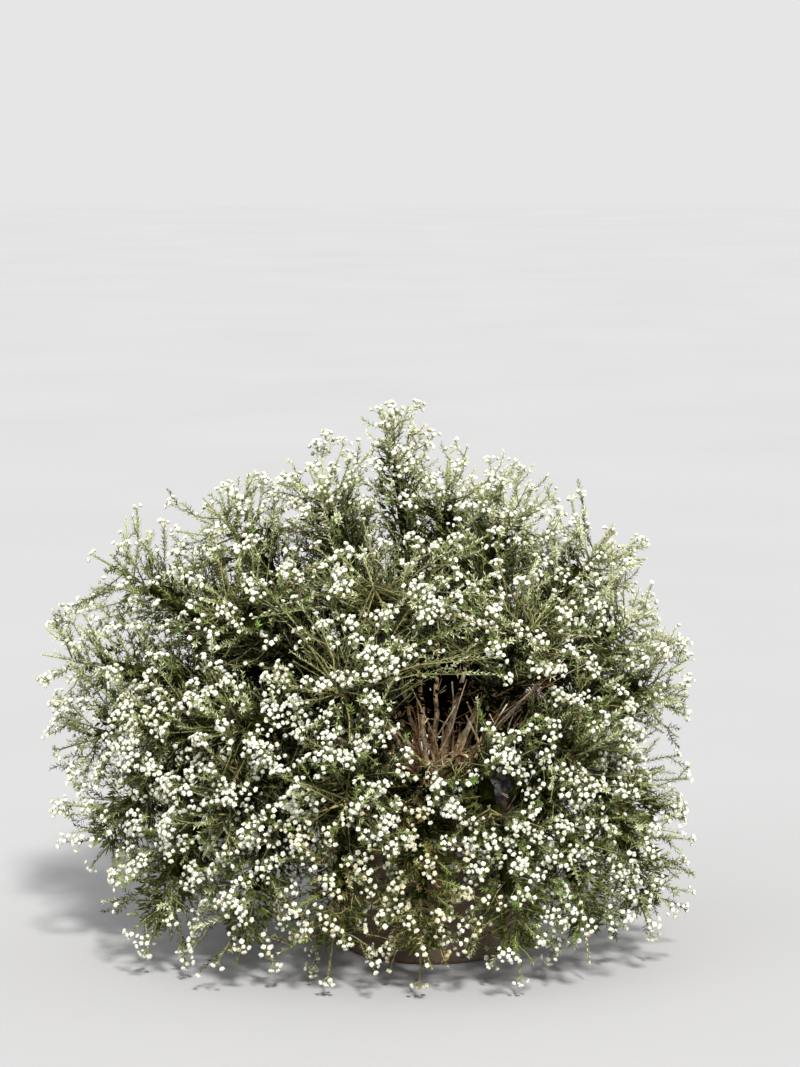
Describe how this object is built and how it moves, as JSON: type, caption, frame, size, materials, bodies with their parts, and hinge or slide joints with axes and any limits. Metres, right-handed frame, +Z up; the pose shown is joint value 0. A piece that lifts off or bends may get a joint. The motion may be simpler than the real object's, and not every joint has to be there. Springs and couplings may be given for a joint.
{
  "type": "phylica ericoides bonsai",
  "caption": "Broad mounded heath-like shrub with needle leaves and small white flower heads, rooted in a plain round clay pot.",
  "frame": {"origin": "centre of the pot's flat underside", "axes": "+Z is up; +X is the right of someone who looks at the crown's open hollow; -Y faces that person"},
  "size_m": [0.6302, 0.4865, 0.5283],
  "materials": {
    "clay": "matte unglazed",
    "screen": "matte",
    "earth": "rough crumbly",
    "rock": "rough",
    "bark": "rough",
    "foliage": "matte"
  },
  "bodies": {
    "root": {"pot": "clay", "drain_screen": "screen", "soil": "earth", "stone_large": "rock", "stone_small": "rock", "woody_stems": "bark", "spray_01": "foliage", "spray_02": "foliage", "spray_03": "foliage", "spray_04": "foliage", "spray_05": "foliage", "spray_06": "foliage", "spray_07": "foliage", "spray_08": "foliage", "spray_09": "foliage", "spray_10": "foliage", "spray_11": "foliage", "spray_12": "foliage", "spray_13": "foliage", "spray_14": "foliage", "spray_15": "foliage", "spray_16": "foliage", "spray_17": "foliage", "spray_18": "foliage", "spray_19": "foliage", "spray_20": "foliage", "spray_21": "foliage", "spray_22": "foliage", "spray_23": "foliage", "spray_24": "foliage", "spray_25": "foliage", "spray_26": "foliage", "spray_27": "foliage", "spray_28": "foliage", "spray_29": "foliage", "spray_30": "foliage", "spray_31": "foliage", "spray_32": "foliage", "spray_33": "foliage", "spray_34": "foliage", "spray_35": "foliage", "spray_36": "foliage", "spray_37": "foliage", "spray_38": "foliage", "spray_39": "foliage", "spray_40": "foliage", "spray_41": "foliage", "spray_42": "foliage", "spray_43": "foliage", "spray_44": "foliage", "spray_45": "foliage", "spray_46": "foliage"}
  },
  "joints": []
}
